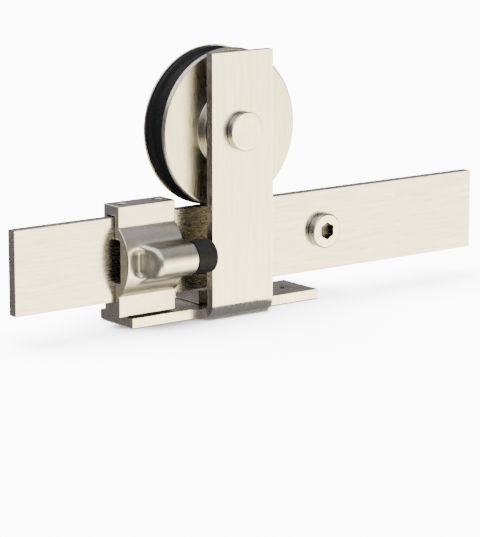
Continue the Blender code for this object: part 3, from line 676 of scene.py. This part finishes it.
def tread(look):
    """The black ring between the flanges, with a groove that runs on the track's edge."""
    front, back = TREAD_LOW.y, TREAD_HIGH.y
    rim = TREAD_HIGH.x - AXLE.x
    groove = AXLE.z - TRACK_HIGH.z - GAP
    half, mouth = GROOVE_HALF, GROOVE_HALF + rim - groove
    bore = TREAD_SEAT_R + TREAD_FIT
    profile = rounded([
        (bore, front), (rim, front, 0.35), (rim, -mouth, 0.3), (groove, -half, 0.6),
        (groove, half, 0.6), (rim, mouth, 0.5), (rim, back, 0.35), (bore, back),
    ])
    settle(turned("tread", profile, AXLE, steps=192), look, "wheel", "black_nylon", "wheel_tread")


# End stop.

STEP, KEPT_SHARE = 0.36, 0.35
CORNER = 0.5
STOP_RIGHT = -34.9
STOP_FRONT = -6.8
ROOF_GAP = 0.6
OVERLAP = 2.0
HOOK_THICK, HOOK_DEPTH = 3.2, 3.6
ARCH_LOW, ARCH_HIGH, ARCH_CROWN = 17.1, 53.5, -15.9
CAVITY_LOW, CAVITY_HIGH, CAVITY_Y = 24.0, 47.4, -8.1
NOSE_R, NOSE_BLEND = 9.0, 4.5
NOSE_RIGHT = BUMPER_LOW.x - GAP
STUD_BORE_R, STUD_BORE_DEPTH, BUMPER_BORE_DEPTH = 2.3, 14.0, 9.0
SCOOP_RIGHT, SCOOP_ROOT, SCOOP_SLOPE, SCOOP_HALF = -61.7, -12.1, 0.5, 7.2
SCOOP_CORNER, SCOOP_RIM = 1.6, 2.0
BLIND_SLOPE, BLIND_RIM = 0.24, 4.0


def join(a, b, k):
    """The union of two distance fields, with a fillet of about k."""
    h = np.clip(0.5 + 0.5 * (b - a) / k, 0.0, 1.0)
    return b + (a - b) * h - k * h * (1.0 - h)


def meet(a, b, k):
    """The intersection of two distance fields, with its edge rounded."""
    return -join(-a, -b, k)


def rectangle(u, v, low, high, corner):
    """Distance to a rectangle with rounded corners."""
    a = np.abs(u - (low[0] + high[0]) / 2) - (high[0] - low[0]) / 2 + corner
    b = np.abs(v - (low[1] + high[1]) / 2) - (high[1] - low[1]) / 2 + corner
    outside = np.hypot(np.maximum(a, 0.0), np.maximum(b, 0.0))
    return outside + np.minimum(np.maximum(a, b), 0.0) - corner


def stop_field(x, y, z):
    """Distance to the stop's surface, negative inside."""
    middle_z = (ARCH_LOW + ARCH_HIGH) / 2
    half_chord, rise = (ARCH_HIGH - ARCH_LOW) / 2, STOP_FRONT - ARCH_CROWN
    radius = (half_chord**2 + rise**2) / (2 * rise)
    block = rectangle(y, z, (STOP_FRONT, STOP_LOW.z), (STOP_HIGH.y, STOP_HIGH.z), 0.6)
    arch = np.hypot(y - ARCH_CROWN - radius, z - middle_z) - radius
    arch = np.maximum(arch, y - STOP_FRONT - OVERLAP)
    body = join(block, arch, CORNER)
    barrel = np.hypot(y - NOSE_Y, z - NOSE_Z) - NOSE_R
    blind_end = (x - SCOOP_RIGHT + (y - SCOOP_ROOT) * BLIND_SLOPE) / math.hypot(1.0, BLIND_SLOPE)
    solid = join(body, meet(barrel, -blind_end, BLIND_RIM), NOSE_BLEND)
    solid = meet(solid, np.maximum(STOP_LOW.x - x, x - STOP_RIGHT), CORNER)
    tip = meet(np.maximum(barrel, STOP_RIGHT - NOSE_R - x), x - NOSE_RIGHT, 1.0)
    solid = np.minimum(solid, tip)
    ramp = (y - SCOOP_ROOT + (SCOOP_RIGHT - x) * SCOOP_SLOPE) / math.hypot(1.0, SCOOP_SLOPE)
    valley = meet(ramp, blind_end, SCOOP_CORNER)
    scoop = meet(valley, np.abs(z - NOSE_Z) - SCOOP_HALF, 2 * SCOOP_CORNER)
    solid = meet(solid, -scoop, SCOOP_RIM)
    face = TRACK_LOW.y - GAP
    hook = STOP_HIGH.y - HOOK_THICK
    sill, roof = TRACK_LOW.z - GAP, TRACK_HIGH.z + ROOF_GAP
    slot = rectangle(y, z, (face, sill), (hook, roof), 0.3)
    behind = STOP_HIGH.y + 4 * HOOK_THICK
    mouth = rectangle(y, z, (hook - OVERLAP, sill + HOOK_DEPTH), (behind, roof - HOOK_DEPTH), 0.1)
    cavity = rectangle(y, z, (CAVITY_Y, CAVITY_LOW), (face + OVERLAP, CAVITY_HIGH), 1.5)
    inside = np.minimum(np.minimum(slot, mouth), cavity)
    solid = meet(solid, -inside, CORNER)
    for side in ("left", "right"):
        low, high = box_of("set_screw_" + side)
        bore = (high.x - low.x) / 2 + GAP
        hole = np.hypot(x - (low.x + high.x) / 2, y - (low.y + high.y) / 2) - bore
        solid = meet(solid, -np.maximum(hole, TRACK_HIGH.z - z), CORNER)
    stud = np.hypot(y - NOSE_Y, z - NOSE_Z) - STUD_BORE_R
    return meet(solid, -np.maximum(stud, NOSE_RIGHT - STUD_BORE_DEPTH - x), CORNER)


def surface_of(name, field, low, high, step):
    """Surface nets: one vertex in each cell that the zero level crosses, pulled onto the level."""
    axes = [np.arange(a - 2 * step, b + 2 * step, step) for a, b in zip(low, high)]
    values = field(*np.meshgrid(*axes, indexing="ij"))
    inside = values < 0
    corners = [(i, j, k) for i in (0, 1) for j in (0, 1) for k in (0, 1)]
    shape = [n - 1 for n in values.shape]

    def corner_block(grid, c):
        return grid[c[0]:c[0] + shape[0], c[1]:c[1] + shape[1], c[2]:c[2] + shape[2]]

    filled = sum(corner_block(inside, c).astype(np.int8) for c in corners)
    cells = np.argwhere((filled > 0) & (filled < 8))
    levels = {c: values[tuple((cells + c).T)] for c in corners}
    total = np.zeros((len(cells), 3))
    count = np.zeros(len(cells))
    for a in corners:
        for axis in range(3):
            if a[axis]:
                continue
            b = tuple(1 if n == axis else a[n] for n in range(3))
            crossed = (levels[a] < 0) != (levels[b] < 0)
            share = levels[a] / np.where(crossed, levels[a] - levels[b], 1.0)
            spot = cells + np.array(a, float)
            spot[:, axis] += share
            total[crossed] += spot[crossed]
            count[crossed] += 1
    points = total / count[:, None] * step + [axis[0] for axis in axes]
    reach, flattest = 0.02, 0.05
    for _ in range(3):
        level = field(*points.T)
        slopes = [(field(*(points + reach * np.eye(3)[n]).T) - level) / reach for n in range(3)]
        slope = np.stack(slopes, 1)
        move = slope * (level / np.maximum((slope**2).sum(1), flattest))[:, None]
        points -= np.clip(move, -step / 2, step / 2)
    index = -np.ones(shape, int)
    index[tuple(cells.T)] = np.arange(len(cells))
    faces = []
    for axis in range(3):
        u, v = [n for n in range(3) if n != axis]
        here = [slice(None)] * 3
        there = [slice(None)] * 3
        here[axis], there[axis] = slice(0, -1), slice(1, None)
        first, second = inside[tuple(here)], inside[tuple(there)]
        edges = np.argwhere(first != second)
        keep = (edges[:, u] > 0) & (edges[:, v] > 0)
        keep &= (edges[:, u] < shape[u]) & (edges[:, v] < shape[v])
        edges = edges[keep]
        entering = second[tuple(edges.T)]
        ring = []
        for du, dv in ((1, 1), (0, 1), (0, 0), (1, 0)):
            cell = edges.copy()
            cell[:, u] -= du
            cell[:, v] -= dv
            ring.append(index[tuple(cell.T)])
        quads = np.stack(ring, 1)
        flip = entering if axis != 1 else ~entering
        quads[flip] = quads[flip][:, ::-1]
        faces.append(quads)
    mesh = bpy.data.meshes.new(name)
    mesh.from_pydata((points * MM).tolist(), [], np.concatenate(faces).tolist())
    mesh.update()
    return mesh


def stop_body(look):
    mesh = surface_of("stop", stop_field, STOP_LOW, (NOSE_RIGHT, STOP_HIGH.y, STOP_HIGH.z), STEP)
    item = add_piece("stop", mesh)
    thin = item.modifiers.new("Thin", "DECIMATE")
    thin.ratio = KEPT_SHARE
    apply_modifiers(item)
    settle(item, look, "stop", "cast_stop", "stop_body", angle=60)


def bumper(look):
    centre = (0.0, NOSE_Y, NOSE_Z)
    radius = (BUMPER_HIGH.y - BUMPER_LOW.y) / 2
    left, right = BUMPER_LOW.x, BUMPER_HIGH.x
    bore_end = left + BUMPER_BORE_DEPTH
    profile = rounded([
        (0.0, right), (radius, right, 0.9), (radius, left, 0.35), (STUD_BORE_R, left, 0.2),
        (STUD_BORE_R, bore_end), (0.0, bore_end),
    ], closed=False)
    settle(turned("bumper", profile, centre, "X"), look, "stop", "black_rubber", "stop_bumper")


# Stage, light and camera.

FLOOR_LEVEL, CARD_LEVEL = -0.6, -0.4
# How strongly the painted reflection card under the bend glows.
PAINTED_REFLECTION_GLOW = 0.38


def sheet(name, low, high, level):
    """A level rectangle between two (x, y) corners in millimetres."""
    work = bmesh.new()
    corners = [(low[0], low[1]), (high[0], low[1]), (high[0], high[1]), (low[0], high[1])]
    work.faces.new([work.verts.new((x, y, level)) for x, y in corners])
    return add_piece(name, clean_mesh(name, work))


def floor():
    half = 8000.0
    item = sheet("floor", (-half, -half), (half, half), FLOOR_LEVEL)
    look = Look("floor", (0.86, 0.86, 0.87), 0.9, 0.0)
    look.shader.inputs["Specular IOR Level"].default_value = 0.0
    item.data.materials.append(look.material)
    item.visible_glossy = False


def painted_reflection_card():
    """A painted reflection: a dim, faintly glowing sheet just under the strap's bend that darkens the
    bend's underside. Only reflections see it.
    """
    card = sheet("painted_reflection_card", (-20.0, -36.0), (26.0, -14.0), CARD_LEVEL)
    look = Look("painted_reflection_card", (0.02, 0.02, 0.02), 0.9, 0.0)
    look.feed(look.shader.inputs["Emission Color"], (1.0, 1.0, 1.0, 1.0))
    look.feed(look.shader.inputs["Emission Strength"], PAINTED_REFLECTION_GLOW)
    card.data.materials.append(look.material)
    card.visible_camera = False
    card.visible_diffuse = False
    card.visible_shadow = False


def soft_light():
    """A wide overhead light for the floor and the dark parts; the metal reflects the world instead."""
    light = bpy.data.lights.new("overhead", "SUN")
    light.energy = 37.0
    light.angle = math.radians(75)
    item = bpy.data.objects.new("overhead", light)
    item.rotation_euler = (math.radians(-12), math.radians(8), 0.0)
    item.visible_glossy = False
    bpy.context.scene.collection.objects.link(item)


def studio():
    """A broad warm light low in front, a rim light at the top left, and a dim room around them."""
    world = bpy.data.worlds.new("studio")
    bpy.context.scene.world = world
    world.use_nodes = True
    tree = world.node_tree
    tree.nodes.clear()

    def add(kind, **settings):
        node = tree.nodes.new(kind)
        for key, value in settings.items():
            setattr(node, key, value)
        return node

    def fade(value, low, high):
        node = add("ShaderNodeMapRange", interpolation_type="SMOOTHSTEP")
        node.inputs["From Min"].default_value = low
        node.inputs["From Max"].default_value = high
        tree.links.new(value, node.inputs["Value"])
        return node.outputs["Result"]

    def product(a, b):
        node = add("ShaderNodeMath", operation="MULTIPLY")
        tree.links.new(a, node.inputs[0])
        tree.links.new(b, node.inputs[1])
        return node.outputs[0]

    def blend(factor, first, second):
        node = add("ShaderNodeMix", data_type="RGBA")
        tree.links.new(factor, node.inputs[0])
        for socket, value in ((node.inputs[6], first), (node.inputs[7], second)):
            if isinstance(value, bpy.types.NodeSocket):
                tree.links.new(value, socket)
            else:
                socket.default_value = (*value, 1.0)
        return node.outputs[2]

    split = add("ShaderNodeSeparateXYZ")
    tree.links.new(add("ShaderNodeTexCoord").outputs["Generated"], split.inputs[0])
    up, back = split.outputs["Z"], split.outputs["Y"]
    across = split.outputs["X"]
    dim_low, dim_high, ceiling = (0.27, 0.25, 0.235), (0.36, 0.34, 0.335), (0.82, 0.80, 0.78)
    rim_light, underneath = (3.2, 3.15, 3.1), (6.6, 6.0, 3.9)
    warm_high, warm_low = (9.2, 8.15, 4.7), (13.0, 11.5, 6.6)
    room = blend(fade(up, -0.6, 0.3), dim_low, dim_high)
    room = blend(fade(up, 0.45, 0.9), room, ceiling)
    room = blend(product(fade(up, 0.3, 0.55), fade(across, 0.25, -0.1)), room, rim_light)
    low_light = blend(fade(up, -0.1, -0.32), warm_high, warm_low)
    front = fade(back, -0.18, -0.42)
    lit = product(product(front, fade(up, 0.42, -0.2)), fade(across, -0.1, 0.2))
    below = product(front, fade(up, -0.36, -0.5))
    colour = blend(below, blend(lit, room, low_light), underneath)
    shader = add("ShaderNodeBackground")
    tree.links.new(colour, shader.inputs["Color"])
    tree.links.new(shader.outputs[0], add("ShaderNodeOutputWorld").inputs["Surface"])


def camera():
    """The photograph's angle: from the front left, a little above."""
    data = bpy.data.cameras.new("camera")
    data.lens = 165.2
    data.sensor_width = 36.0
    item = bpy.data.objects.new("camera", data)
    bpy.context.scene.collection.objects.link(item)
    bpy.context.scene.camera = item
    target = Vector((5.9, -9.5, 23.2)) * MM
    distance = 1.329
    azimuth, elevation = math.radians(-36.8), math.radians(11.86)
    away = Vector((
        math.sin(azimuth) * math.cos(elevation),
        -math.cos(azimuth) * math.cos(elevation),
        math.sin(elevation),
    ))
    item.location = target + away * distance
    item.rotation_euler = (-away).to_track_quat("-Z", "Y").to_euler()
    data.clip_start, data.clip_end = 0.05, 50.0


# The object.

steel_bracket = brushed_bracket()
plated_steel = plated()
race_steel = bearing_steel()
nylon = black_nylon()
spacer_steel = turned_steel("turned_steel", AXLE).material

carry(brushed_track(), "track_bar")
carry(steel_bracket, "anti_jump_block")
carry(plated_steel, "axle_nut", "retaining_ring", "bumper_stud", "door_screw_left", "door_screw_right",
      "block_screw_left", "block_screw_right", "set_screw_left", "set_screw_right")
carry(race_steel, "bearing_outer_ring", "bearing_inner_ring")
carry(race_steel, *["bearing_ball_%d" % n for n in range(1, 8)])
carry(nylon, "bearing_cage")

for side in ("left", "right"):
    track_bolt(side)
    standoff(side)
hanger_bracket(steel_bracket)
axle_cap()
sleeve("axle_spacer_front", spacer_steel, "turned_steel")
sleeve("axle_spacer_rear", spacer_steel, "turned_steel")
sleeve("axle_washer", plated_steel, "plated_fastener")
wheel(brushed_wheel())
tread(nylon)
stop_body(cast_stop())
bumper(black_rubber())

floor()
# A sheet under the bend that only reflections see: painted reflection.
painted_reflection_card()
soft_light()
studio()
camera()
